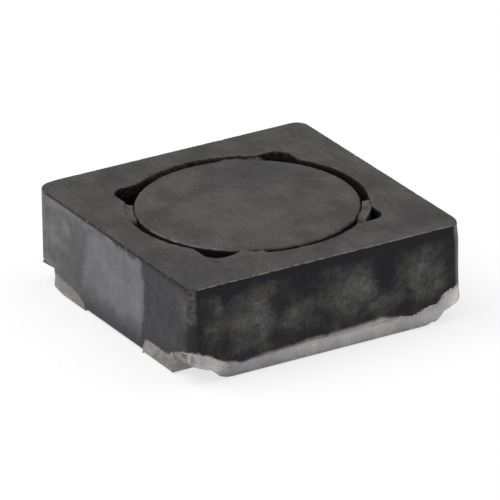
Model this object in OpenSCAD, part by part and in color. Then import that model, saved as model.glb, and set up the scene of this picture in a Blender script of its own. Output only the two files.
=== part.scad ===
// Shielded surface-mount power inductor, low square type.
// A round drum core with its winding is glued into a square ring core, which closes
// the magnetic path and is the body of the part. The two electrodes are plated
// straight onto the ring core's feet. The z = 0 plane is the board, and z runs up
// through the centre of the ring.

/* [Ring core] */
// Side of the square ring core
core_side = 6; // [5.4:0.1:8]
// Height of the ring core, without its electrodes
core_h = 1.92; // [1.6:0.02:3]
// Radius of the four upright corners
corner_r = 0.26; // [0.1:0.01:0.5]
// Radius along the four bottom edges
bottom_r = 0.06; // [0.03:0.01:0.15]
// Diameter of the bore that takes the drum core
bore_d = 4.68; // [4.4:0.02:4.8]
// Width across the square whose corners cut the glue pockets into the bore
pocket_w = 3.88; // [3.6:0.02:4]
// Radius in the corners of the glue pockets
pocket_r = 0.3; // [0.1:0.01:0.4]

/* [Wire exits] */
// Depth of each corner exit, measured in from the electrode side
exit_x = 0.68; // [0.5:0.01:0.8]
// Depth of each corner exit, measured in from the plain side
exit_y = 0.65; // [0.5:0.01:0.8]
// Height of the exit at the plain side's face
exit_h = 0.385; // [0.3:0.005:0.5]
// Height at which the exit's steep wall turns into its roof
exit_knee = 0.215; // [0.1:0.005:0.28]
// Slope of the exit's steep wall
exit_slope = 50; // [40:1:70]
// Radius under the foot, at the exit's upright wall
foot_r = 0.16; // [0.05:0.01:0.2]
// Width of the groove that leads the wire from a glue pocket to the exit
groove_w = 0.3; // [0.24:0.01:0.4]
// Height of the groove above the underside of the ring core
groove_h = 0.31; // [0.26:0.01:0.4]

/* [Electrodes] */
// Thickness of the electrode under the feet
pad_t = 0.04; // [0.03:0.005:0.1]
// Thickness of the electrode where it wraps up the sides
wrap_t = 0.02; // [0.015:0.005:0.05]
// Length of each electrode, measured in along the plain side
pad_l = 1.88; // [1.2:0.02:2.2]
// Taper at the electrode's end on the plain side
pad_end = 0.2; // [0.05:0.01:0.3]
// Height of the band along the electrode side, above the board
band_h = 0.34; // [0.32:0.01:0.5]
// Height of the right electrode at the upright corners, above the board
right_corner_h = 0.7; // [0.4:0.01:0.9]
// Height of the left electrode at the upright corners, above the board
left_corner_h = 0.4; // [0.4:0.01:0.9]
// Bare margin between the electrode and the bore
bore_margin = 0.08; // [0.04:0.01:0.2]

/* [Drum core] */
// Radial gap between the drum core's flanges and the bore
ring_gap = 0.16; // [0.12:0.01:0.25]
// Depth of the drum core's top face below the ring core's
drum_sink = 0.01; // [0.01:0.01:0.1]
// Height of the drum core's underside above the ring core's
drum_lift = 0.1; // [0.05:0.01:0.2]
// Thickness of each flange
flange_t = 0.35; // [0.25:0.01:0.45]
// Diameter of the post that the wire is wound on
post_d = 2; // [1.6:0.1:2.4]
// Chamfer on the rims of the flanges
rim_c = 0.03; // [0.01:0.005:0.06]

/* [Winding] */
// Diameter of the enamelled wire
wire_d = 0.17; // [0.14:0.01:0.2]
// Free depth between the outer turns and the flange rims
winding_inset = 0.25; // [0.2:0.01:0.5]

/* [Solder and adhesive] */
// Radius of each solder joint
solder_r = 0.21; // [0.15:0.01:0.22]
// Depth of the adhesive's surface below the top of the ring core
bead_sink = 0.04; // [0.03:0.01:0.15]
// Height of each adhesive bead
bead_h = 0.25; // [0.1:0.01:0.27]

/* [Hidden] */
$fn = 96;

half = core_side / 2;
core_z = pad_t;                 // underside of the ring core
top_z = core_z + core_h;        // top of the ring core and of the part
over = 1;                       // how far cutting shapes run past what they cut

drum_r = bore_d / 2 - ring_gap;
drum_z = core_z + drum_lift;
drum_h = top_z - drum_sink - drum_z;
window_h = drum_h - 2 * flange_t;

turns = floor(window_h / wire_d);
layer_r = drum_r - winding_inset - wire_d / 2;      // centre line of the outer turns
winding_z = drum_z + flange_t + (window_h - turns * wire_d) / 2;

// The wire runs out on the diagonals, over the lower flange, down a glue pocket and
// along the groove under the ring core.
pocket_reach = pocket_w / 2 * sqrt(2) - pocket_r * (sqrt(2) - 1);
lead_drop_r = (drum_r + pocket_reach) / 2;
lead_out_z = drum_z + flange_t + wire_d * 0.6;
lead_z = core_z + groove_h - wire_d * 0.65;
lead_end_r = (half - (exit_x + exit_y) / 2) * sqrt(2) + wire_d;

// Start and end angle of each adhesive bead, counted from the right electrode
BEADS = [[50, 66], [142, 154], [233, 257], [323, 338]];

ferrite = [0.30, 0.30, 0.31];
tin = [0.66, 0.65, 0.64];
copper = [0.72, 0.42, 0.22];
glue = [0.50, 0.45, 0.42];

// ---- shared shapes ----

module rounded_square(side, r) {
    square([side - 2 * r, side], center = true);
    square([side, side - 2 * r], center = true);
    for (x = [-1, 1], y = [-1, 1])
        translate([x, y] * (side / 2 - r)) circle(r);
}

// Section of the ring core, standing on y = 0, with its two bottom corners rounded
module block_section(width, r) {
    translate([-width / 2, r]) square([width, core_h + pad_t + over]);
    translate([r - width / 2, 0]) square([width - 2 * r, 2 * r]);
    for (x = [-1, 1]) translate([x * (width / 2 - r), r]) circle(r);
}

// The ring core's block before any cut, grown outwards by grow and downwards by drop
module core_block(grow = 0, drop = 0) {
    width = core_side + 2 * grow;
    z = core_z - drop;
    intersection() {
        translate([0, 0, z]) linear_extrude(top_z - z) rounded_square(width, corner_r + grow);
        translate([0, 0, z]) rotate([90, 0, 0]) linear_extrude(width + over, center = true)
            block_section(width, bottom_r + grow);
        translate([0, 0, z]) rotate([90, 0, 90]) linear_extrude(width + over, center = true)
            block_section(width, bottom_r + grow);
    }
}

// The steep wall and the roof of a wire exit, as points in (y, z). Its first and last
// points run past the block.
knee = [half - exit_y + exit_knee / tan(exit_slope), core_z + exit_knee];
wall_dir = [cos(exit_slope), sin(exit_slope)];
roof_dir = let (d = [half, core_z + exit_h] - knee) d / norm(d);

// Moves the exit's section so that its wall and its roof both come in by t
function section_shift(t) =
    let (wall = [wall_dir.y, -wall_dir.x], roof = [roof_dir.y, -roof_dir.x])
    t * (wall + roof) / (1 + wall * roof);

module exit_section_yz(inset) {
    foot = knee - wall_dir * (knee.y + over) / wall_dir.y;
    eave = knee + roof_dir * (half - knee.x + over) / roof_dir.x;
    translate(section_shift(inset)) polygon([foot, knee, eave, [eave.x, foot.y]]);
}

module exit_section_xz(inset, drop) {
    wall = half - exit_x + inset;
    r = foot_r + inset;
    z = core_z - drop;
    translate([wall, z - over]) square([exit_x + over, exit_h + 2 * over]);
    difference() {
        translate([wall - r, z - over]) square([r + over / 2, r + over]);
        translate([wall - r, z + r]) circle(r);
    }
}

// The space of one wire exit, at the corner where x and y are positive
module exit_space(inset = 0, drop = 0) {
    intersection() {
        rotate([90, 0, 90]) linear_extrude(half + over) exit_section_yz(inset);
        translate([0, half + over]) rotate([90, 0, 0]) linear_extrude(half + over)
            exit_section_xz(inset, drop);
    }
}

module at_corners() {
    for (x = [0, 1], y = [0, 1]) mirror([x, 0, 0]) mirror([0, y, 0]) children();
}

// Groove for the wire along a diagonal, from the glue pocket out through the exit
module groove() {
    roof_r = groove_w / 2;
    rotate([0, 0, 45]) translate([pocket_reach - groove_w, 0, core_z + groove_h - roof_r])
        rotate([90, 0, 90]) linear_extrude(core_side) {
            circle(roof_r);
            translate([-roof_r, -groove_h - over]) square([groove_w, groove_h + over]);
        }
}

// The space for the drum core, with the four glue pockets
module bore(margin = 0) {
    translate([0, 0, -over]) linear_extrude(top_z + 2 * over) {
        circle(bore_d / 2 + margin);
        rounded_square(pocket_w + 2 * margin, pocket_r + margin);
    }
}

// ---- pieces ----

module shield_core() {
    color(ferrite) difference() {
        core_block();
        bore();
        at_corners() exit_space();
        at_corners() groove();
    }
}

module drum_core() {
    top = drum_h;
    rim = drum_r - rim_c;
    color(ferrite) translate([0, 0, drum_z]) rotate_extrude() polygon([
        [0, 0], [rim, 0], [drum_r, rim_c], [drum_r, flange_t],
        [post_d / 2, flange_t], [post_d / 2, top - flange_t],
        [drum_r, top - flange_t], [drum_r, top - rim_c], [rim, top], [0, top]
    ]);
}

// One lead of the winding, on the diagonal where x and y are positive
module lead() {
    inside = [layer_r - wire_d, 0, lead_out_z];
    bend = [lead_drop_r, 0, lead_out_z];
    low_bend = [lead_drop_r, 0, lead_z];
    drop_z = lead_out_z - lead_z;
    rotate([0, 0, 45]) {
        translate(inside) rotate([0, 90, 0]) cylinder(d = wire_d, h = bend.x - inside.x);
        translate(bend) sphere(d = wire_d);
        translate(low_bend) cylinder(d = wire_d, h = drop_z);
        translate(low_bend) sphere(d = wire_d);
        translate(low_bend) rotate([0, 90, 0]) cylinder(d = wire_d, h = lead_end_r - lead_drop_r);
    }
}

module winding() {
    skin = wire_d * 0.1;
    color(copper) {
        translate([0, 0, winding_z]) rotate_extrude() {
            translate([post_d / 2, skin])
                square([layer_r - post_d / 2, turns * wire_d - 2 * skin]);
            for (i = [0:turns - 1])
                translate([layer_r, (i + 0.5) * wire_d]) circle(d = wire_d * 1.04);
        }
        for (a = [0, 180]) rotate([0, 0, a]) lead();
    }
}

// An outline given for positive x, closed by its mirror image
function with_mirror(points) =
    concat(points, [for (i = [len(points) - 1:-1:0]) [-points[i].x, points[i].y]]);

// How far up the electrode reaches, as seen from its own side
module reach_on_own_side(corner_h) {
    rise_y = half - exit_y;
    shoulder = [rise_y + exit_y / 3, band_h + (corner_h - band_h) * 0.7];
    rotate([90, 0, 90]) linear_extrude(half + over) polygon(with_mirror([
        [rise_y, band_h], shoulder, [half, corner_h], [half + over, corner_h], [half + over, -over]
    ]));
}

// How far up and how far in it reaches, as seen from the plain side
module reach_on_plain_side(corner_h) {
    start = half - pad_l;
    shoulder = [half - exit_x, band_h + (corner_h - band_h) * 0.15];
    rotate([90, 0, 0]) linear_extrude(core_side + over, center = true) polygon([
        [start, -over], [start, band_h - pad_end], [start + pad_end, band_h], shoulder,
        [half, corner_h], [half + over, corner_h], [half + over, -over]
    ]);
}

// The electrode on the side where x is positive
module electrode(corner_h) {
    color(tin) intersection() {
        reach_on_own_side(corner_h);
        reach_on_plain_side(corner_h);
        difference() {
            core_block(wrap_t, pad_t);
            at_corners() exit_space(wrap_t, pad_t);
            difference() {
                core_block();
                at_corners() exit_space();
            }
            bore(bore_margin);
            at_corners() groove();
        }
    }
}

module electrode_right() {
    electrode(right_corner_h);
}

module electrode_left() {
    mirror([1, 0, 0]) electrode(left_corner_h);
}

// Solder round the end of a lead, on the diagonal where x and y are positive
module solder_joint() {
    color(tin) difference() {
        intersection() {
            rotate([0, 0, 45]) translate([lead_end_r, 0, lead_z]) sphere(solder_r);
            union() {
                exit_space(wrap_t, pad_t);
                groove();
            }
        }
        lead();
    }
}

module solder_joint_right() {
    solder_joint();
}

module solder_joint_left() {
    rotate([0, 0, 180]) solder_joint();
}

// Adhesive in the gap between the drum core's upper flange and the bore
module adhesive_bead(i) {
    reach = bore_d;
    a = BEADS[i];
    color(glue) intersection() {
        translate([0, 0, top_z - bead_sink - bead_h]) linear_extrude(bead_h) difference() {
            circle(bore_d / 2);
            circle(drum_r);
        }
        linear_extrude(top_z + over) polygon([
            [0, 0], reach * [cos(a[0]), sin(a[0])], reach * [cos(a[1]), sin(a[1])]
        ]);
    }
}

shield_core();
drum_core();
winding();
electrode_right();
electrode_left();
solder_joint_right();
solder_joint_left();
for (i = [0:len(BEADS) - 1])
    adhesive_bead(i);
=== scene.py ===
import functools
import math

import bmesh
import bpy
from mathutils import Matrix, Vector, noise


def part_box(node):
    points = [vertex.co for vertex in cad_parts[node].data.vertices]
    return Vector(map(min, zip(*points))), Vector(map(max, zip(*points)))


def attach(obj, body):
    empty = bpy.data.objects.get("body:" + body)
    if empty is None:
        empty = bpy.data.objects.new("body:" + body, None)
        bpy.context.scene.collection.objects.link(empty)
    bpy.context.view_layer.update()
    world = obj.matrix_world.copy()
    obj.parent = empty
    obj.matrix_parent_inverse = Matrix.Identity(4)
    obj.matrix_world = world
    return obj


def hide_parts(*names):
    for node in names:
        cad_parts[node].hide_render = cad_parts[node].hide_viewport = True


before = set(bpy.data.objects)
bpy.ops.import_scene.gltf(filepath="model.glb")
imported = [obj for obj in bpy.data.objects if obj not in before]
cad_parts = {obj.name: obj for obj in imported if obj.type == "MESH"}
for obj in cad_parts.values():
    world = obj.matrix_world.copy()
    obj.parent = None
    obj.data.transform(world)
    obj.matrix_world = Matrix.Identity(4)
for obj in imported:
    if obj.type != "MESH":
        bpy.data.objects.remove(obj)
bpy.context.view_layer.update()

MM = 0.001
SCENE = bpy.context.scene

# Sizes in millimetres, starting with half of each core's width and the height of its top
HALF, _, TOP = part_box("shield_core")[1] / MM
DRUM_R, _, DRUM_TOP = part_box("drum_core")[1] / MM
CORNER_R = 0.26              # the ring core's upright corners
BORE_R = 2.34
POCKET_SIDE = 1.94           # half of the square whose corners are the glue pockets
POCKET_R = 0.3
POCKET_REACH = 2.62          # from the middle to a pocket's far wall
WRAP_T = 0.02                # the plating up the sides, and at its thinnest
THINNEST = 0.001
EXIT_X = HALF - 0.68         # where the wire exits start
OVERHANG_Y = HALF - 0.46     # the left end's overhangs lie beyond it
END_FOOT_Y = HALF - 0.6574   # where a foot's end face meets the board
END_SLOPE = math.radians(50)

# Height of the plating's upper edge, as (place along the face, height above the board)
RIGHT_END_FRONT = [(1.0, -0.1), (1.12, -0.02), (1.15, 0.18), (1.2, 0.28), (1.3, 0.35), (1.5, 0.37),
                   (2.1, 0.36), (2.2, 0.40), (2.5, 0.545), (2.8, 0.66), (3.05, 0.70)]
LEFT_END_FRONT = [(1.0, -0.1), (1.08, -0.02), (1.12, 0.13), (1.18, 0.21), (1.31, 0.29),
                  (1.57, 0.335), (1.91, 0.39), (2.16, 0.42), (2.32, 0.45), (3.05, 0.45)]
RIGHT_SIDE = [(-3.05, 0.70), (-2.85, 0.66), (-2.55, 0.53), (-2.4, 0.43), (-2.2, 0.34),
              (-1.87, 0.27), (-1.28, 0.32), (1.15, 0.41), (1.72, 0.31), (2.09, 0.36),
              (2.42, 0.44), (2.58, 0.63), (2.85, 0.71), (3.05, 0.71)]
LEFT_SIDE = [(-3.05, 0.40), (-2.4, 0.38), (-1.6, 0.33), (0.4, 0.36), (1.5, 0.31), (2.3, 0.35),
             (3.05, 0.40)]


# ---- camera, light and floor ----

def place_camera():
    azimuth, elevation, roll = (math.radians(a) for a in (59.76, 23.76, -0.88))
    side = 2 * HALF
    distance = 22.64 * side * MM
    aim = Vector((0, 0, (TOP - 0.163 * side) * MM))
    back = Vector((math.sin(azimuth) * math.cos(elevation),
                   -math.cos(azimuth) * math.cos(elevation),
                   math.sin(elevation)))
    right = Vector((math.cos(azimuth), math.sin(azimuth), 0))
    up = back.cross(right)
    turned_right = right * math.cos(roll) + up * math.sin(roll)
    turned_up = up * math.cos(roll) - right * math.sin(roll)
    aim += (turned_right * 0.037 + turned_up * 0.008) * MM
    data = bpy.data.cameras.new("camera")
    data.lens = 509.5
    data.sensor_width = 36
    data.clip_start = 0.01
    data.clip_end = 10
    camera = bpy.data.objects.new("camera", data)
    SCENE.collection.objects.link(camera)
    camera.matrix_world = Matrix.Translation(aim + back * distance) @ Matrix(
        (turned_right, turned_up, back)).transposed().to_4x4()
    SCENE.camera = camera


def area_light(name, direction, size, power, tint=(1, 1, 1)):
    distance = 0.25
    place = Vector(direction).normalized() * distance
    data = bpy.data.lights.new(name, "AREA")
    data.shape = "DISK"
    data.size = size
    data.energy = power
    data.color = tint
    light = bpy.data.objects.new(name, data)
    SCENE.collection.objects.link(light)
    turned = place.to_track_quat("Z", "Y").to_matrix().to_4x4()
    light.matrix_world = Matrix.Translation(place) @ turned


def light_studio():
    area_light("key_light", (-0.3, -0.5, 0.9), 0.26, 0.43)
    area_light("top_light", (0.1, 0.5, 0.9), 0.26, 0.20)
    world = bpy.data.worlds.new("studio")
    world.use_nodes = True
    background = world.node_tree.nodes["Background"]
    background.inputs["Color"].default_value = (0.98, 0.99, 1, 1)
    background.inputs["Strength"].default_value = 0.36
    SCENE.world = world
    SCENE.view_settings.view_transform = "Standard"


def lay_floor(material):
    bm = bmesh.new()
    bmesh.ops.create_grid(bm, x_segments=1, y_segments=1, size=0.6)
    floor = add_piece("floor", bm, material)


# ---- meshes ----

def add_piece(name, bm, *materials):
    mesh = bpy.data.meshes.new(name)
    bm.to_mesh(mesh)
    bm.free()
    piece = bpy.data.objects.new(name, mesh)
    SCENE.collection.objects.link(piece)
    for material in materials:
        mesh.materials.append(material)
    return piece


def cad_copy(name):
    """A node's own mesh in millimetres, as one closed skin with flat faces joined up."""
    bm = bmesh.new()
    bm.from_mesh(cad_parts[name].data)
    bmesh.ops.scale(bm, vec=(1 / MM,) * 3, verts=bm.verts)
    bmesh.ops.remove_doubles(bm, verts=bm.verts, dist=0.0005)
    bmesh.ops.dissolve_limit(bm, angle_limit=math.radians(1), verts=bm.verts, edges=bm.edges)
    return bm


def round_edges(bm, radius, segments, chosen):
    """Rounds the edges sharper than 40 degrees whose middle is chosen."""
    edges = [edge for edge in bm.edges
             if len(edge.link_faces) == 2 and edge.calc_face_angle(0) > math.radians(40)
             and chosen((edge.verts[0].co + edge.verts[1].co) / 2)]
    bmesh.ops.bevel(bm, geom=edges, offset=radius, affect="EDGES", segments=segments,
                    profile=0.5, material=-1)


def cut_in_cells(bm, pitch):
    """Cuts every face along a grid of planes, pitch apart."""
    bmesh.ops.triangulate(bm, faces=bm.faces)
    for axis in range(3):
        low = min(vert.co[axis] for vert in bm.verts)
        high = max(vert.co[axis] for vert in bm.verts)
        cuts = int((high - low) / pitch)
        normal = Vector([float(i == axis) for i in range(3)])
        for cut in range(1, cuts):
            bmesh.ops.bisect_plane(
                bm, geom=bm.verts[:] + bm.edges[:] + bm.faces[:], dist=0.0005,
                plane_co=normal * (low + (high - low) * cut / cuts), plane_no=normal)


def finish_mesh(name, bm, material, smooth_angle=38):
    bmesh.ops.remove_doubles(bm, verts=bm.verts, dist=0.0002)
    bmesh.ops.scale(bm, vec=(MM,) * 3, verts=bm.verts)
    for face in bm.faces:
        face.smooth = True
    piece = add_piece(name, bm, material)
    piece.data.set_sharp_from_angle(angle=math.radians(smooth_angle))
    return piece


def dress(name, node, bm, material):
    piece = finish_mesh(name, bm, material)
    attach(piece, "root")
    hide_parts(node)
    return piece


def ripple(place, scale, seed=0.0):
    """Noise of about -1 to 1, with bumps about 1 / scale millimetres across."""
    return noise.noise(place * scale + Vector((seed, seed * 1.7, seed * 0.6)))


def near(value, edge, width):
    """1 at the edge, falling to 0 a width away."""
    return max(0.0, 1 - abs(value - edge) / width)


def outward(place):
    """How far a point is outside the ring core's outline, and the way that leads straight out."""
    across = Vector((abs(place.x), abs(place.y))) - Vector((HALF - CORNER_R,) * 2)
    if across.x > 0 and across.y > 0:
        distance = across.length - CORNER_R
        way = across.normalized()
    elif across.x > across.y:
        distance, way = across.x - CORNER_R, Vector((1, 0))
    else:
        distance, way = across.y - CORNER_R, Vector((0, 1))
    return distance, Vector((math.copysign(way.x, place.x), math.copysign(way.y, place.y), 0))


def height_on(points, at):
    """Height of the line through points, each (along, height), from left to right."""
    for (left, low), (right, high) in zip(points, points[1:]):
        if at <= right:
            return low + (high - low) * max(0.0, at - left) / (right - left)
    return points[-1][1]


def plating_height(place):
    """Height of the plating's upper edge near a point of the outside."""
    way = outward(place)[1]
    front = RIGHT_END_FRONT if place.x > 0 else LEFT_END_FRONT
    side = RIGHT_SIDE if place.x > 0 else LEFT_SIDE
    share = way.x ** 2
    return height_on(front, abs(place.x)) * (1 - share) + height_on(side, place.y) * share


def round_section(across, up, centre, radius):
    """Brings a point of a section that lies outside an arc onto it."""
    offset = Vector((across - centre[0], up - centre[1]))
    if offset.length > radius:
        offset *= radius / offset.length
    return centre[0] + offset.x, centre[1] + offset.y


def round_feet(place, film):
    """Softens the ends of the feet. film is how far the surface stands off the ring core."""
    x, y, z = abs(place.x), abs(place.y), place.z
    # the upright edge beside a wire exit
    radius = 0.09 + film
    if z < 0.40 and EXIT_X + film - radius < x < EXIT_X + 0.03 and y > HALF + film - radius:
        centre = (EXIT_X + film - radius, HALF + film - radius)
        rounded = round_section(x, y, centre, radius)
        share = min(1.0, (0.40 - z) / 0.06)
        x += (rounded[0] - x) * share
        y += (rounded[1] - y) * share
    if y > HALF - 0.66 and x < EXIT_X + 0.03:
        if place.x > 0 and z < 0.3 and x > EXIT_X - 0.16:
            # the right foot's heel is drawn down to a corner
            bend = 0.18 - math.sqrt(max(0.0, 0.18 ** 2 - (x - EXIT_X + 0.16) ** 2))
            z -= 0.45 * bend * (1 - z / 0.3)
        elif place.x < 0 and z < 0.26 and x > 1.80:
            # a long one on the left foot
            z += 0.09 * ((x - 1.80) / (EXIT_X - 1.80)) ** 2 * (1 - z / 0.26)
    # the lower corner of the end face
    elif x >= EXIT_X + 0.03 and y > HALF - 0.89 and z < 0.19:
        centre = (HALF - 0.89, 0.5)
        slope = (y - END_FOOT_Y) * math.sin(END_SLOPE) - z * math.cos(END_SLOPE)
        radius = 0.5 if z < 0.003 or abs(slope) < 0.003 else 0.46
        if 0 < math.atan2(y - centre[0], centre[1] - z) < END_SLOPE:
            y, z = round_section(y, z, centre, radius)
    return Vector((math.copysign(x, place.x), math.copysign(y, place.y), z))


def round_overhang(place, way, distance):
    """Rounds the lower rim of the left end's overhangs."""
    radius = 0.10
    roof = 0.425 - 0.362 * (HALF - abs(place.y))
    elsewhere = place.x > -EXIT_X or abs(place.y) < OVERHANG_Y
    if elsewhere or distance < -radius or place.z > roof + radius:
        return Vector()
    flat, z = round_section(distance, place.z, (-radius, roof + radius), radius)
    return way * (flat - distance) + Vector((0, 0, z - place.z))


def make_ring():
    bm = cad_copy("shield_core")
    round_edges(bm, 0.02, 2, lambda m: m.z > TOP - 0.001 and max(abs(m.x), abs(m.y)) > HALF - 0.1)
    round_edges(bm, 0.012, 1, lambda m: m.z > TOP - 0.001 and m.xy.length < POCKET_REACH + 0.1)
    cut_in_cells(bm, pitch=0.065)
    for vert in bm.verts:
        place = vert.co.copy()
        reach = max(abs(place.x), abs(place.y))
        radius = place.xy.length
        angle = math.degrees(math.atan2(place.y, place.x))
        away = Vector((place.x, place.y, 0)).normalized()
        distance, way = outward(place)
        rim = near(place.z, TOP, 0.05)
        if place.z < 0.44:
            vert.co = round_feet(place, 0.0)
        vert.co += round_overhang(place, way, distance)
        # small chips along the top's outer edge
        if distance > -0.05:
            worn = 1.0 if place.x > HALF - 0.1 or place.y < 0.1 - HALF else 0.25
            chip = max(0.0, ripple(place, 7.0, 2.0) - 0.15) * rim * 0.05 * worn
            chip += max(0.0, ripple(place, 19.0, 5.0)) * rim * 0.014 * worn
            vert.co -= way * chip + Vector((0, 0, chip * 0.8))
        # the worn top corner and the flattened upright corner opposite
        corner = max(0.0, 1 - (place - Vector((HALF, HALF, TOP))).length / 0.35)
        vert.co += Vector((-0.03, -0.03, -0.035)) * corner
        if place.x < 0 and place.y < 0 and distance > -0.3:
            flat = max(0.0, 1 - (place.xy - Vector((-HALF, -HALF))).length / 0.45)
            vert.co += Vector((0.07, 0.03, 0)) * flat
        # the ragged mouth of the bore, with a little flash towards the electrode side
        if radius < POCKET_REACH + 0.1 and reach < HALF - 0.2:
            mouth = max(0.0, ripple(place, 4.0, 9.0)) * 0.020 + ripple(place, 11.0, 1.0) * 0.016
            mouth -= 0.035 * max(0.0, 1 - ((angle - 12) / 30) ** 2)
            vert.co += away * mouth * rim
        # slight unevenness of the pressed faces
        if distance > -0.01:
            low = min(1.0, max(0.0, (place.z - 0.7) / 0.3)) * (1 - rim)
            vert.co -= way * (0.5 + 0.5 * ripple(place, 1.3, 3.0)) * 0.008 * low
    return dress("ring_core_skin", "shield_core", bm, RING)


def make_drum():
    bm = cad_copy("drum_core")
    cut_in_cells(bm, pitch=0.09)
    for vert in bm.verts:
        place = vert.co.copy()
        radius = place.xy.length
        if place.z < DRUM_TOP - 0.2:
            continue
        chip = max(0.0, ripple(place, 3.6, 4.0) - 0.2) * near(radius, DRUM_R, 0.05) * 0.03
        chip += max(0.0, ripple(place, 12.0, 6.0)) * near(radius, DRUM_R, 0.05) * 0.014
        vert.co += Vector((place.x, place.y, 0)).normalized() * -chip + Vector((0, 0, -chip))
    return dress("drum_core_skin", "drum_core", bm, DRUM)


def column(place):
    """The upright column that a point is in, 0.1 mm across."""
    return round(place.x / 0.1), round(place.y / 0.1)


def make_electrode(side):
    node = "electrode_" + side
    bm = cad_copy(node)
    cut_in_cells(bm, pitch=0.055)
    tops = {}
    for vert in bm.verts:
        if outward(vert.co)[0] > 0.01:
            key = column(vert.co)
            tops[key] = max(tops.get(key, 0.0), vert.co.z)
    for vert in bm.verts:
        place = vert.co.copy()
        distance, way = outward(place)
        edge = plating_height(place)
        vert.co = round_feet(place, WRAP_T if distance > 0.01 else 0.0)
        if distance > 0.01 and place.z > 0.05:
            # the plating thins out towards its upper edge, and is lumpy below it
            left = min(1.0, max(0.0, (min(edge, tops[column(place)]) - place.z) / 0.28))
            film = THINNEST + (WRAP_T - THINNEST) * left * left * (3 - 2 * left)
            lump = (0.5 + 0.5 * ripple(place, 4.5, 7.0)) * 0.007
            vert.co -= way * (WRAP_T - max(THINNEST, film - lump))
        if distance > -0.01 and place.z > edge - 0.015:
            vert.co.z = edge - 0.015
        # the plating ends at the left end's overhangs
        overhang = abs(place.y) > OVERHANG_Y and place.x < -EXIT_X - 0.05
        if side == "left" and overhang and distance > -0.01:
            vert.co -= way * 0.12
    return dress(node + "_skin", node, bm, TIN)


def make_adhesive(number, start, end, sink):
    """A run of adhesive in the gap, from one angle to the other, its top sink below the core's."""
    high = TOP - sink
    inner, outer = DRUM_R + 0.015, BORE_R + 0.04
    section = [(inner, high - 0.22), (outer, high - 0.22), (outer, high + 0.010),
               (outer - 0.08, high), (inner + 0.05, high), (inner, high - 0.015)]
    bm = bmesh.new()
    verts = [bm.verts.new((radius, 0, z)) for radius, z in section]
    for first, second in zip(verts, verts[1:] + verts[:1]):
        bm.edges.new((first, second))
    bmesh.ops.rotate(bm, verts=bm.verts, matrix=Matrix.Rotation(math.radians(start), 3, "Z"))
    bmesh.ops.spin(bm, geom=bm.verts[:] + bm.edges[:], cent=(0, 0, 0), axis=(0, 0, 1),
                   angle=math.radians(end - start), steps=int((end - start) * 1.3),
                   use_merge=False)
    bmesh.ops.holes_fill(bm, edges=[edge for edge in bm.edges if edge.is_boundary])
    bmesh.ops.recalc_face_normals(bm, faces=bm.faces)
    for vert in bm.verts:
        place = vert.co.copy()
        away = Vector((place.x, place.y, 0)).normalized()
        along = Vector((-away.y, away.x, 0))
        angle = math.degrees(math.atan2(place.y, place.x)) % 360
        share = (angle - (start + end) / 2) / ((end - start) / 2)
        level = near(place.z, high, 0.1)
        middle = 1 - abs(place.xy.length - (BORE_R + DRUM_R) / 2) / ((BORE_R - DRUM_R) / 2)
        lump = ripple(place, 7.0, number + 3.0) * 0.03
        vert.co += along * ripple(place, 9.0, number) * 0.04
        vert.co.z += level * (lump - 0.015 * middle - 0.12 * abs(share) ** 6)
        vert.co.z = min(vert.co.z, TOP - 0.003)
    node = f"adhesive_bead_{number}"
    return dress(node + "_skin", node, bm, GLUE)


# ---- shader maths ----

class Field:
    """A node's socket, ready for arithmetic."""

    def __init__(self, shader, socket):
        self.shader = shader
        self.socket = socket

    def math(self, operation, *others):
        return self.shader.node("ShaderNodeMath", {"operation": operation}, [self, *others])

    def __add__(self, other):
        return self.math("ADD", other)

    __radd__ = __add__

    def __sub__(self, other):
        return self.math("SUBTRACT", other)

    def __rsub__(self, other):
        return self.shader.node("ShaderNodeMath", {"operation": "SUBTRACT"}, [other, self])

    def __mul__(self, other):
        return self.math("MULTIPLY", other)

    __rmul__ = __mul__

    def __truediv__(self, other):
        return self.math("DIVIDE", other)

    def __neg__(self):
        return self * -1

    def size(self):
        return self.math("ABSOLUTE")

    def step(self, low, high):
        """0 below low, 1 above high, and smooth between them. A low above high turns it round."""
        if low > high:
            return 1 - self.step(high, low)
        settings = {"interpolation_type": "SMOOTHSTEP"}
        return self.shader.node("ShaderNodeMapRange", settings, [self, low, high, 0, 1])

    def least(self, other):
        return self.math("MINIMUM", other)

    def most(self, other):
        return self.math("MAXIMUM", other)


def strongest(fields):
    """The highest of several fields at each point."""
    return functools.reduce(Field.most, fields)


def length(across, up):
    return (across * across + up * up).math("SQRT")


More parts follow.
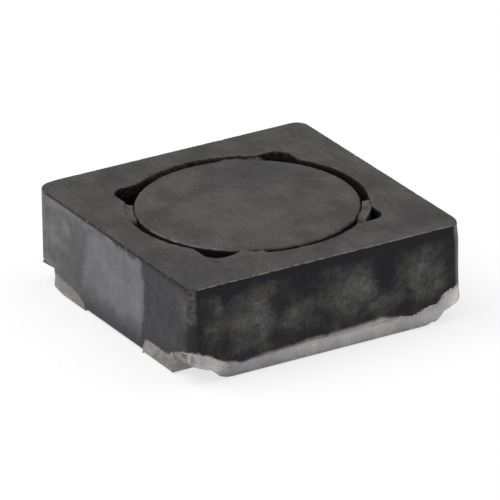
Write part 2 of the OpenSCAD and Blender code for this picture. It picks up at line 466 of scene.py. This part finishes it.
class Shader:
    """One material's node tree."""

    def __init__(self, name):
        self.material = bpy.data.materials.new(name)
        self.material.use_nodes = True
        self.tree = self.material.node_tree
        self.tree.nodes.clear()
        self.output = self.tree.nodes.new("ShaderNodeOutputMaterial")
        place = self.node("ShaderNodeTexCoord", {}, [], "Object")
        scale = {"operation": "SCALE"}
        self.place = self.node("ShaderNodeVectorMath", scale, {"Vector": place, "Scale": 1 / MM})
        self.x, self.y, self.z = self.split(self.place)
        facing = self.node("ShaderNodeNewGeometry", {}, [], "Normal")
        self.facing_x, self.facing_y, self.facing_z = self.split(facing)

    def node(self, kind, settings, inputs, output=0):
        node = self.tree.nodes.new(kind)
        for name, value in settings.items():
            if name == "stops":
                self.set_stops(node.color_ramp, value)
            else:
                setattr(node, name, value)
        named = inputs.items() if isinstance(inputs, dict) else enumerate(inputs)
        for key, value in named:
            socket = node.inputs[key]
            if isinstance(value, Field):
                self.tree.links.new(value.socket, socket)
            else:
                socket.default_value = value
        return Field(self, node.outputs[output])

    def set_stops(self, ramp, stops):
        while len(ramp.elements) < len(stops):
            ramp.elements.new(1)
        for element, (position, colour) in zip(ramp.elements, stops):
            element.position = position
            element.color = (*colour, 1)

    def split(self, vector):
        first = self.node("ShaderNodeSeparateXYZ", {}, [vector])
        return [Field(self, socket) for socket in first.socket.node.outputs]

    def noise(self, scale, detail=3, roughness=0.55, stretch=(1, 1, 1), offset=(0, 0, 0),
              distortion=0, turn=(0, 0, 0)):
        """Cloudy noise from 0 to 1; scale is in features per millimetre."""
        at = self.node("ShaderNodeMapping", {}, {
            "Vector": self.place, "Location": offset, "Rotation": turn, "Scale": stretch})
        return self.node("ShaderNodeTexNoise", {}, {
            "Vector": at, "Scale": scale, "Detail": detail, "Roughness": roughness,
            "Distortion": distortion})

    def profile(self, along, points):
        """A height read off a line through points, each (along, height), from left to right."""
        low, high = points[0][0], points[-1][0]
        share = self.node("ShaderNodeMapRange", {}, [along, low, high, 0, 1])
        stops = [((at - low) / (high - low), (height, height, height)) for at, height in points]
        return self.node("ShaderNodeValToRGB", {"stops": stops}, [share])

    def patch(self, across, up, at, size, edge=0.5):
        """A soft oval: 1 in its middle and 0 outside it. edge is the share of it that fades."""
        u = (across - at[0]) / size[0]
        v = (up - at[1]) / size[1]
        return length(u, v).step(1, 1 - edge)

    def patches(self, across, up, spots):
        """Soft ovals, each (its middle, half its size, its strength)."""
        return strongest([self.patch(across, up, at, size, 1.0) * strength
                          for at, size, strength in spots])

    def blend(self, share, first, second):
        """The colour first where share is 0, and second where it is 1."""
        node = self.tree.nodes.new("ShaderNodeMix")
        node.data_type = "RGBA"
        node.clamp_factor = True
        # the factor and the two colours are these among the sockets of every data type
        sockets = node.inputs[0], node.inputs[6], node.inputs[7]
        for socket, value in zip(sockets, (share, first, second)):
            if isinstance(value, Field):
                self.tree.links.new(value.socket, socket)
            elif isinstance(value, (int, float)):
                socket.default_value = value
            else:
                socket.default_value = (*value, 1)
        return Field(self, node.outputs[2])

    def scaled(self, colour, amount):
        """A colour made lighter or darker."""
        scale = {"operation": "SCALE"}
        return self.node("ShaderNodeVectorMath", scale, {"Vector": colour, "Scale": amount})

    def bump(self, height, depth, strength=1.0):
        """A normal from height, which is in shares of depth, in millimetres."""
        return self.node("ShaderNodeBump", {}, {
            "Height": height, "Distance": depth * MM, "Strength": strength})

    def finish(self, **inputs):
        surface = self.node("ShaderNodeBsdfPrincipled", {}, {
            name.replace("_", " "): (*value, 1) if isinstance(value, tuple) else value
            for name, value in inputs.items()})
        self.tree.links.new(surface.socket, self.output.inputs["Surface"])
        return self.material


# ---- finishes ----

def plating_edge(shader):
    """Height of the plating's upper edge at each point of the surface."""
    right_front = shader.profile(shader.x, RIGHT_END_FRONT)
    left_front = shader.profile(-shader.x, LEFT_END_FRONT)
    right_side = shader.profile(shader.y, RIGHT_SIDE)
    left_side = shader.profile(shader.y, LEFT_SIDE)
    front = right_front.most(left_front)
    right = shader.facing_x.step(0.5, 0.85)
    left = shader.facing_x.step(-0.5, -0.85)
    return front * (1 - right - left) + right_side * right + left_side * left


def plating_share(shader):
    """1 on the plating and 0 on bare ferrite, and the height left to its edge."""
    right = shader.facing_x.step(0.8, 0.95)
    soft = right * shader.y.step(-2.1, -1.5) * shader.y.step(1.75, 1.3)
    wave = (shader.noise(3.2, 2) - 0.5) * 0.10
    teeth = (shader.noise(11, 4, 0.7) - 0.5) * 0.12 * (1.2 - soft)
    left = plating_edge(shader) + (wave + teeth) - shader.z
    return left.step(-0.01, 0.014) * (1 - soft) + left.step(-0.055, 0.06) * soft, left


def tin_colour(shader, left):
    x, y, z = shader.x, shader.y, shader.z
    cloud = shader.noise(2.2, 5, 0.6)
    grain = shader.noise(15, 4, 0.75)
    spots = shader.noise(7, 3, 0.6, offset=(3, 1, 5))
    on_side = shader.facing_x.step(0.6, 0.9) * x.step(2.5, 2.7)
    on_left = x.step(0, -0.5)
    by_corner = on_side * y.step(-1.9, -2.4)
    by_exit = x.step(2.70, 2.60) * x.step(2.22, 2.36) * (1 - on_side)

    # The tin is painted in lit and shaded copies by face: darker on the right foot's front to
    # offset its brighter reflection, beige on the left foot as painted shade, and lighter on the
    # electrode side where less light falls.
    front_tin_darkened = shader.blend(cloud.step(0.32, 0.68), (0.19, 0.18, 0.17), (0.30, 0.292, 0.282))
    left_tin_shaded = shader.blend(cloud.step(0.32, 0.68), (0.195, 0.18, 0.167), (0.28, 0.265, 0.25))
    side_tin_lightened = shader.blend(cloud.step(0.32, 0.68), (0.265, 0.26, 0.262), (0.370, 0.362, 0.358))
    along = shader.profile(y, [
        (-3.05, 1.25), (-2.5, 1.3), (-2.1, 0.85), (-1.5, 0.92), (-0.9, 1.02), (0, 1.2),
        (0.9, 1.1), (1.5, 1.08), (2.2, 1.3), (2.7, 1.65), (3.05, 1.65)])
    # painted shade: the side's tin darkens towards the bottom, under its rounded lower edge
    height = shader.profile(z, [
        (0.0, 0.50), (0.06, 0.72), (0.14, 1.0), (0.24, 1.18), (0.4, 1.12), (0.75, 1.05)])
    side_tin_lightened = shader.scaled(side_tin_lightened, along * height)
    colour = shader.blend(on_side, shader.blend(on_left, front_tin_darkened, left_tin_shaded), side_tin_lightened)
    # a darker beige by the front wire exit, set lighter than that as painted light against the
    # shade on the exit's end wall
    colour = shader.blend(by_exit * 0.75, colour, (0.225, 0.212, 0.195))

    # a brownish streak across the front foot, a brown spot, and a pale painted highlight down the
    # rounded corner
    across = x + (z - 0.2) * -0.9
    streak = across.step(1.62, 1.69) * across.step(1.80, 1.73) * (1 - on_side)
    colour = shader.blend(streak * 0.5, colour, (0.12, 0.105, 0.095))
    spot = shader.patch(x + (spots - 0.5) * 0.2, z, (2.72, 0.555), (0.14, 0.11), 0.8)
    spot = spot * (1 - on_side) * (-y).step(2, 2.5)
    colour = shader.blend(spot * 0.85, colour, (0.085, 0.065, 0.05))
    turn = shader.facing_x - 0.45
    front_corner_highlight = (turn * turn).step(0.016, 0.002) * z.step(0.42, 0.48)
    front_corner_highlight = front_corner_highlight * (-y).step(2, 2.5) * x.step(2, 2.5)
    colour = shader.blend(front_corner_highlight * 0.7 * grain.step(0.35, 0.5), colour, (0.62, 0.52, 0.48))

    # a painted lavender reflection on the electrode side's tin
    band_reflection = shader.patch(y, z, (-1.75, 0.16), (0.6, 0.12), 0.8) * on_side
    colour = shader.blend(band_reflection * 0.55, colour, (0.30, 0.295, 0.345))
    rough = 0.34 + by_corner * 0.35 + (1 - on_side) * 0.06 - on_left * 0.2
    colour = shader.blend(grain.step(0.52, 0.75) * rough, colour, (0.66, 0.64, 0.62))
    colour = shader.blend(grain.step(0.45, 0.28) * rough, colour, (0.11, 0.10, 0.092))
    colour = shader.blend(spots.step(0.62, 0.72) * rough, colour, (0.15, 0.12, 0.10))

    # the upper edge: a rusty fringe with bright points in it, and a soft pink one in the middle
    soft = on_side * y.step(-2.1, -1.5)
    fringe = left.step(0.045, 0.005) * (1 - soft)
    colour = shader.blend(fringe * 0.75, colour, (0.10, 0.058, 0.048))
    pink = left.step(0.14, 0.03) * soft
    colour = shader.blend(pink * 0.5, colour, (0.33, 0.285, 0.275))
    glint = shader.noise(21, 2, 0.6, offset=(8, 3, 2)).step(0.60, 0.66) * left.step(0.14, 0.04)
    glinting = (by_corner + x.step(2.5, 2.7) * 0.8 + 0.25).least(1)
    glint = glint * glinting * (1 - on_left) * (1 - soft)
    colour = shader.blend(glint * 0.9, colour, (0.85, 0.80, 0.76))
    # painted shade: a near-black line along the very bottom, where the tin turns under
    bottom_edge_shade = z.step(0.03, 0.005)
    return shader.blend(bottom_edge_shade * 0.85, colour, (0.03, 0.029, 0.029))


def top_colour(shader):
    """The ground top of both cores: dark grey with warm and violet clouds."""
    x, y = shader.x, shader.y
    cloud = shader.noise(1.1, 6, 0.66)
    tint = shader.noise(0.9, 4, 0.6, offset=(1, 9, 4))
    grain = shader.noise(13, 4, 0.75)
    scratch = shader.noise(9, 4, 0.7, stretch=(0.35, 1.6, 1), turn=(0, 0, 0.5))
    warp = (tint - 0.5) * 1.2
    colour = shader.blend(cloud.step(0.33, 0.67), (0.052, 0.0485, 0.045), (0.086, 0.081, 0.075))
    violet = shader.patch(x + warp, y, (2.3, -2.4), (1.7, 1.6), 1.0)
    violet = violet.most(shader.patch(x, y + warp, (2.0, 2.5), (1.2, 0.8), 1.0) * 0.7)
    violet = violet.most(shader.patch(x, y + warp, (-1.2, 0.9), (1.3, 1.6), 1.0))
    violet = violet.most(tint.step(0.55, 0.7) * 0.5)
    colour = shader.blend(violet * 0.75, colour, (0.049, 0.046, 0.052))
    brown = shader.patch(x + warp, y, (-1.5, -2.5), (2.2, 1.0), 1.0)
    brown = brown.most(tint.step(0.45, 0.3) * 0.8)
    colour = shader.blend(brown * 0.5, colour, (0.074, 0.064, 0.054))
    pale = shader.patch(x + warp, y + warp, (0.6, -0.2), (1.5, 1.6), 1.0)
    colour = shader.blend(pale * 0.55, colour, (0.084, 0.081, 0.077))
    fine = (grain - 0.5) * 0.95 + (scratch - 0.5) * 0.8
    return shader.scaled(colour, 1 + fine)


def front_colour(shader, grey):
    """The plain side: mottled grey on the left, a pale panel, and dark on the right."""
    x, y, z = shader.x, shader.y, shader.z
    blot = shader.noise(2.3, 5, 0.65, offset=(7, 2, 1))
    grain = shader.noise(13, 4, 0.75, offset=(1, 1, 3))
    wobble = (shader.noise(3, 4, 0.6, offset=(2, 2, 2)) - 0.5) * 0.24
    sway = (shader.noise(1.3, 2, 0.5, offset=(3, 7, 2)) - 0.5) * 0.5
    rag = wobble + sway + (grain - 0.5) * 0.22

    brush = shader.noise(3, 4, 0.6, stretch=(3, 3, 0.8), offset=(4, 2, 2))
    dark = shader.blend(brush.step(0.3, 0.75), (0.032, 0.031, 0.036), (0.052, 0.051, 0.057))
    dark = shader.blend(blot.step(0.45, 0.7) * 0.6, dark, (0.064, 0.062, 0.067))
    dark = shader.scaled(dark, 1 + (grain - 0.5) * 0.7)
    bulge = (z - 0.95) * (z - 0.95) * 0.13
    rag = rag + wobble * 0.6
    colour = shader.blend((x + rag + bulge).step(1.06, 1.26), grey, dark)

    # between the left part and the panel the face is darker, along a slanting line
    slant = x - (z - 1.71) * 0.485 + wobble * 2
    shade = slant.step(-1.62, -1.25) * slant.step(-0.3, -0.9) * z.step(1.95, 1.7)
    colour = shader.blend(shade * 0.6, colour, (0.076, 0.073, 0.077))

    panel = (x + rag + bulge).step(1.22, 1.06) * (x + wobble * 1.3 - z * 0.12).step(-1.32, -1.06)
    panel = panel * (z + rag * 0.8 - x * 0.13).step(1.88, 1.70) * (z + wobble * 1.5).step(0.28, 0.9)
    pale = shader.blend(blot.step(0.35, 0.7), (0.135, 0.136, 0.145), (0.180, 0.180, 0.190))
    pale = shader.scaled(pale, 1 + (grain - 0.5) * 0.45)
    colour = shader.blend(panel, colour, pale)
    # painted shade: the lower left of the face darkens towards the floor
    low = (z + wobble).step(0.72, 0.12) * (x + wobble).step(-1.7, -0.9)
    colour = shader.blend(low * 0.85, colour, (0.032, 0.031, 0.035))
    blob = shader.patch(x + wobble, z, (-1.04, 1.80), (0.26, 0.12), 0.8)
    colour = shader.blend(blob * 0.8, colour, (0.155, 0.155, 0.165))

    # a rough brownish patch beside the front corner, dark below it
    below = shader.patch(x + wobble, z + wobble, (3.0, 0.92), (0.75, 0.34), 0.7)
    colour = shader.blend(below * 0.8, colour, (0.026, 0.024, 0.029))
    rough = shader.patch(x + wobble, z + wobble, (2.95, 1.50), (0.62, 0.48), 0.8)
    crumb = shader.noise(10, 5, 0.8, offset=(3, 3, 9))
    brown = shader.blend(crumb.step(0.36, 0.64), (0.030, 0.027, 0.025), (0.135, 0.122, 0.108))
    colour = shader.blend(rough * 0.85, colour, brown)
    chips = (z + (blot - 0.5) * 0.4 + (grain - 0.5) * 0.4).step(TOP - 0.13, TOP - 0.05)
    chips = chips * x.step(-1.0, 0.4)
    return shader.blend(chips * 0.8, colour, (0.022, 0.021, 0.022))


# Rough clouds on the electrode side, as ((y, z), half their size, strength)
CLOUDS = [((-1.70, 1.08), (1.20, 0.95), 1.0), ((-2.54, 1.02), (0.40, 0.50), 0.8),
          ((-2.54, 1.60), (0.34, 0.45), 0.7), ((-0.80, 0.88), (0.75, 0.50), 0.8),
          ((-1.40, 1.62), (0.80, 0.40), 0.65), ((-0.42, 1.10), (0.55, 0.65), 0.65),
          ((0.51, 1.10), (1.05, 0.95), 1.0), ((1.23, 0.78), (0.80, 0.45), 0.8),
          ((0.30, 1.58), (0.60, 0.35), 0.65), ((2.10, 1.20), (0.95, 0.75), 1.0),
          ((2.20, 0.80), (0.80, 0.40), 0.8), ((-1.9, 0.55), (0.8, 0.30), 0.6)]

# Darker places between the clouds, in the same terms
HOLLOWS = [((1.25, 1.42), (0.50, 0.50), 0.42), ((1.85, 0.56), (0.85, 0.25), 0.35),
           ((-0.47, 1.50), (0.45, 0.40), 0.25), ((-1.05, 1.20), (0.30, 0.45), 0.22),
           ((-2.25, 1.70), (0.30, 0.35), 0.35), ((-3.0, 0.95), (0.45, 0.50), 0.40)]


def side_colour(shader):
    """The electrode side: nearly black, with rough olive-grey clouds."""
    y, z = shader.y, shader.z
    warp_y = (shader.noise(1.6, 5, 0.65, offset=(5, 5, 5)) - 0.5) * 1.3
    warp_z = (shader.noise(1.8, 5, 0.65, offset=(8, 1, 6)) - 0.5) * 1.3
    swirl = shader.noise(2.6, 6, 0.72, offset=(2, 9, 7)) - 0.5
    crumb = shader.noise(8, 6, 0.82, offset=(2, 6, 1), distortion=1.2) - 0.5
    cloud = shader.patches(y + warp_y, z + warp_z, CLOUDS)
    hollow = shader.patches(y + warp_y * 0.5, z + warp_z * 0.5, HOLLOWS)
    scratch = shader.noise(8, 4, 0.75, stretch=(1, 0.45, 1.8), turn=(0.6, 0, 0),
                           offset=(2, 2, 8)) - 0.5
    cross = shader.noise(8, 4, 0.75, stretch=(1, 1.8, 0.45), turn=(0.45, 0, 0),
                         offset=(6, 2, 1)) - 0.5
    under_edge = (z + swirl * 0.4).step(TOP - 0.30, TOP - 0.06)
    tone = cloud * 0.64 + swirl * 0.85 + 0.10 - under_edge * 0.45 - hollow
    tone = tone + (crumb * 1.25 + scratch * 0.6 + cross * 0.4) * (0.40 + cloud * 0.65)
    colour = side_tones(shader, tone)
    tint = shader.noise(2.6, 4, 0.65, offset=(9, 6, 1))
    warm = shader.scaled((0.060, 0.046, 0.034), 0.6 + tone)
    cold = shader.scaled((0.044, 0.042, 0.052), 0.5 + tone * 1.2)
    colour = shader.blend(tint.step(0.54, 0.66) * 0.45, colour, warm)
    return shader.blend(tint.step(0.46, 0.34) * 0.40, colour, cold)


def side_tones(shader, tone):
    """The electrode side's colours, from nearly black to olive grey."""
    stops = [(0.0, (0.007, 0.0065, 0.009)), (0.25, (0.019, 0.018, 0.020)),
             (0.5, (0.046, 0.046, 0.043)), (0.75, (0.084, 0.084, 0.077)),
             (1.0, (0.15, 0.148, 0.136))]
    return shader.node("ShaderNodeValToRGB", {"stops": stops}, [tone])


def ferrite_colour(shader):
    """Colour of the ring core's outside, face by face."""
    cloud = shader.noise(0.9, 5, 0.6, offset=(4, 4, 4))
    blot = shader.noise(2.1, 5, 0.62, offset=(7, 2, 1))
    grain = shader.noise(12, 4, 0.75, offset=(7, 5, 1))
    grey = shader.blend((blot * 0.6 + cloud * 0.4).step(0.36, 0.62),
                        (0.092, 0.088, 0.091), (0.180, 0.175, 0.180))
    x, y, z = shader.x, shader.y, shader.z
    grey = shader.scaled(grey, 1 + (grain - 0.5) * 0.35)

    colour = shader.blend(shader.facing_z.step(0.45, 0.8), grey, top_colour(shader))
    colour = shader.blend(shader.facing_y.step(-0.55, -0.85), colour, front_colour(shader, grey))
    # the front corner is rough and brown above, nearly black below
    turned = shader.facing_x.step(0.1, 0.5) * (-shader.facing_y).step(0.1, 0.4)
    brown = shader.blend(grain.step(0.36, 0.64), (0.030, 0.027, 0.025), (0.115, 0.104, 0.092))
    brown = shader.blend((z + (blot - 0.5) * 0.8).step(1.25, 1.05), brown, (0.022, 0.021, 0.026))
    colour = shader.blend(turned, colour, brown)
    side = side_colour(shader)
    colour = shader.blend(shader.facing_x.step(0.80, 0.96), colour, side)
    colour = shader.blend(shader.facing_x.step(-0.55, -0.85) * 0.7, colour, side)
    # the upright corner at the back of the electrode side has a painted highlight, a paler strip
    # where it turns towards the light
    turn = shader.facing_x - 0.78
    back_corner_highlight = (turn * turn).step(0.06, 0.0) * shader.facing_y.step(0.2, 0.4)
    back_corner_highlight = back_corner_highlight * z.step(TOP - 0.06, TOP - 0.2)
    return shader.blend(back_corner_highlight * 0.8, colour, (0.125, 0.118, 0.124))


# Where adhesive is smeared over the mouth, as (angle, half its spread) in degrees
SMEARS = [(53, 16), (154, 14), (246, 14), (331, 12), (291, 4), (357, 2)]


def mouth_distance(shader):
    """How far a point is outside the bore and its pockets, seen from above, and its radius."""
    x, y = shader.x, shader.y
    radius = length(x, y)
    side = POCKET_SIDE - POCKET_R
    across, along = x.size() - side, y.size() - side
    box = length(across.most(0), along.most(0)) + across.most(along).least(0) - POCKET_R
    return box.least(radius - BORE_R), radius


def ring_finish():
    shader = Shader("ferrite_ring")
    x, y, z = shader.x, shader.y, shader.z
    grain = shader.noise(16, 4, 0.7)
    colour = ferrite_colour(shader)

    # wear along the top's outer edges
    edge_noise = shader.noise(9, 3, 0.7, offset=(4, 4, 0))
    bright = x.step(HALF - 0.05, HALF - 0.02) * z.step(TOP - 0.022, TOP - 0.012)
    bright = bright * edge_noise.step(0.40, 0.56)
    colour = shader.blend(bright * 0.75, colour, (0.19, 0.185, 0.177))
    dim = (-y).step(HALF - 0.03, HALF - 0.01) * z.step(TOP - 0.07, TOP - 0.035)
    colour = shader.blend(dim * 0.9, colour, (0.014, 0.014, 0.016))
    chip = dim * shader.noise(12, 2, 0.6, offset=(1, 7, 0)).step(0.62, 0.68)
    colour = shader.blend(chip * 0.7, colour, (0.20, 0.19, 0.18))

    # adhesive smeared over the mouth, and painted shade along the mouth's ragged edge where there
    # is no adhesive
    mouth, radius = mouth_distance(shader)
    up = shader.facing_z.step(0.4, 0.8)
    patchy = shader.noise(3, 4, 0.7, offset=(1, 3, 0))
    rag = (shader.noise(5, 4, 0.7, offset=(2, 8, 1)) - 0.5) * 0.34 + (grain - 0.5) * 0.20
    arcs = []
    for angle, half in SMEARS:
        way = Vector((math.cos(math.radians(angle)), math.sin(math.radians(angle))))
        turned = (x * way.x + y * way.y) / radius
        arcs.append(turned.step(math.cos(math.radians(half + 3)),
                                math.cos(math.radians(half * 0.7))))
    glued = strongest(arcs)
    smear = (mouth + rag).step(0.20, 0.04)
    smear = smear * (glued + patchy.step(0.56, 0.66) * 0.7).least(1) * up
    smear_colour = shader.blend(grain.step(0.4, 0.6), (0.060, 0.050, 0.043), (0.115, 0.098, 0.087))
    colour = shader.blend(smear * 0.7, colour, smear_colour)
    ragged_mouth_shade = (mouth + rag).step(0.02, -0.02) * up * mouth.step(0.14, 0.08) * (1 - glued)
    colour = shader.blend(ragged_mouth_shade * 0.9, colour, (0.016, 0.015, 0.014))

    # the bore and the glue pockets are in deep shade, filmed with adhesive towards the left
    inward = -(shader.facing_x * x + shader.facing_y * y) / radius
    inner = inward.step(0.2, 0.6) * radius.step(2.9, 2.75)
    left = (x * -1 + y * 0.2).step(1.2, 2.0) * z.step(TOP - 0.3, TOP - 0.05)
    film = (patchy * 0.6 + grain * 0.4).step(0.44, 0.56) * left
    deep = shader.blend(film, (0.007, 0.007, 0.007), (0.060, 0.053, 0.047))
    crumbs = grain.step(0.55, 0.7) * z.step(TOP - 0.2, TOP - 0.02)
    deep = shader.blend(crumbs * 0.3, deep, (0.06, 0.055, 0.05))
    colour = shader.blend(inner, colour, deep)

    plated, left_to_edge = plating_share(shader)
    outside = inward.step(0.3, 0.0) * shader.facing_z.step(-0.5, -0.2)
    plated = plated * outside
    colour = shader.blend(plated, colour, tin_colour(shader, left_to_edge))
    return shader.finish(Base_Color=colour, Roughness=0.62 - plated * 0.14, Metallic=plated * 0.35,
                         Specular_IOR_Level=0.2, Normal=shader.bump(grain, 0.006))


def drum_finish():
    shader = Shader("ferrite_drum")
    x, y, z = shader.x, shader.y, shader.z
    grain = shader.noise(16, 4, 0.7)
    colour = shader.scaled(top_colour(shader), 1.03)
    radius = length(x, y)
    near_side = (x * 0.35 - y).step(1.75, 2.15)
    # a painted highlight: a pale line along the drum's rim, strongest on the near side
    rim = radius.step(DRUM_R - 0.034, DRUM_R - 0.026) * shader.noise(5, 3, 0.6).step(0.35, 0.5)
    colour = shader.blend(rim * (0.1 + near_side * 0.55), colour, (0.20, 0.195, 0.187))
    # a ragged dark line along the drum's rim, except on the near side
    ragged = radius + (shader.noise(7, 4, 0.7, offset=(4, 4, 1)) - 0.5) * 0.25
    far_edge_dark = ragged.step(DRUM_R - 0.03, DRUM_R + 0.01)
    colour = shader.blend(far_edge_dark * (1 - near_side) * 0.75, colour, (0.02, 0.019, 0.018))
    # painted shade: the drum's side below its top is nearly black, down in the gap
    deep = z.step(TOP - 0.035, TOP - 0.06)
    colour = shader.blend(deep, colour, (0.010, 0.010, 0.010))
    return shader.finish(Base_Color=colour, Roughness=0.6, Specular_IOR_Level=0.2,
                         Normal=shader.bump(grain, 0.005))


def glue_finish():
    shader = Shader("adhesive")
    cloud = shader.noise(5, 4, 0.65)
    grain = shader.noise(18, 3, 0.7)
    dusty = shader.blend(cloud.step(0.35, 0.6), (0.062, 0.052, 0.045), (0.135, 0.113, 0.099))
    colour = shader.blend(0.45, top_colour(shader), dusty)
    colour = shader.blend(grain.step(0.58, 0.7) * 0.4, colour, (0.15, 0.13, 0.118))
    colour = shader.blend(cloud.step(0.42, 0.3) * 0.7, colour, (0.026, 0.023, 0.021))
    shade = shader.z.step(TOP - 0.03, TOP - 0.12)
    colour = shader.blend(shade * 0.85, colour, (0.012, 0.011, 0.010))
    return shader.finish(Base_Color=colour, Roughness=0.6, Specular_IOR_Level=0.2,
                         Normal=shader.bump(cloud, 0.015))


def tin_finish():
    shader = Shader("tinned_electrode")
    grain = shader.noise(14, 3, 0.7)
    plated, left = plating_share(shader)
    colour = shader.blend(plated, ferrite_colour(shader), tin_colour(shader, left))
    return shader.finish(Base_Color=colour, Metallic=plated * 0.35, Roughness=0.62 - plated * 0.14,
                         Specular_IOR_Level=0.2, Normal=shader.bump(grain, 0.010))


def floor_finish():
    shader = Shader("pale_floor")
    tone = shader.noise(0.02, 2)
    colour = shader.blend(tone, (0.30, 0.30, 0.30), (0.31, 0.31, 0.31))
    return shader.finish(Base_Color=colour, Roughness=0.95, Specular_IOR_Level=0.1,
                         Emission_Color=(1.0, 1.0, 1.0), Emission_Strength=0.70)


def plain_finish(name, colour, roughness, metallic=0.0):
    shader = Shader(name)
    grain = shader.noise(12, 3)
    darker = tuple(c * 0.8 for c in colour)
    lighter = tuple(min(1, c * 1.2) for c in colour)
    tone = shader.blend(grain, darker, lighter)
    return shader.finish(Base_Color=tone, Roughness=roughness, Metallic=metallic,
                         Normal=shader.bump(grain, 0.004))


place_camera()
light_studio()
lay_floor(floor_finish())

RING = ring_finish()
DRUM = drum_finish()
TIN = tin_finish()
COPPER = plain_finish("enamelled_copper", (0.4, 0.16, 0.06), 0.3, 0.7)
SOLDER = plain_finish("solder", (0.4, 0.4, 0.4), 0.4, 0.6)
GLUE = glue_finish()

make_ring()
make_drum()
make_electrode("right")
make_electrode("left")
make_adhesive(1, start=40, end=67, sink=0.012)
make_adhesive(2, start=141, end=167, sink=0.05)
make_adhesive(3, start=234, end=257, sink=0.014)
make_adhesive(4, start=322, end=341, sink=0.010)

# The CAD nodes' finishes, by the first word of a node's name
FINISHES = {"shield": RING, "drum": DRUM, "electrode": TIN, "winding": COPPER,
            "solder": SOLDER, "adhesive": GLUE}
for name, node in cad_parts.items():
    node.data.materials.clear()
    node.data.materials.append(FINISHES[name.split("_")[0]])
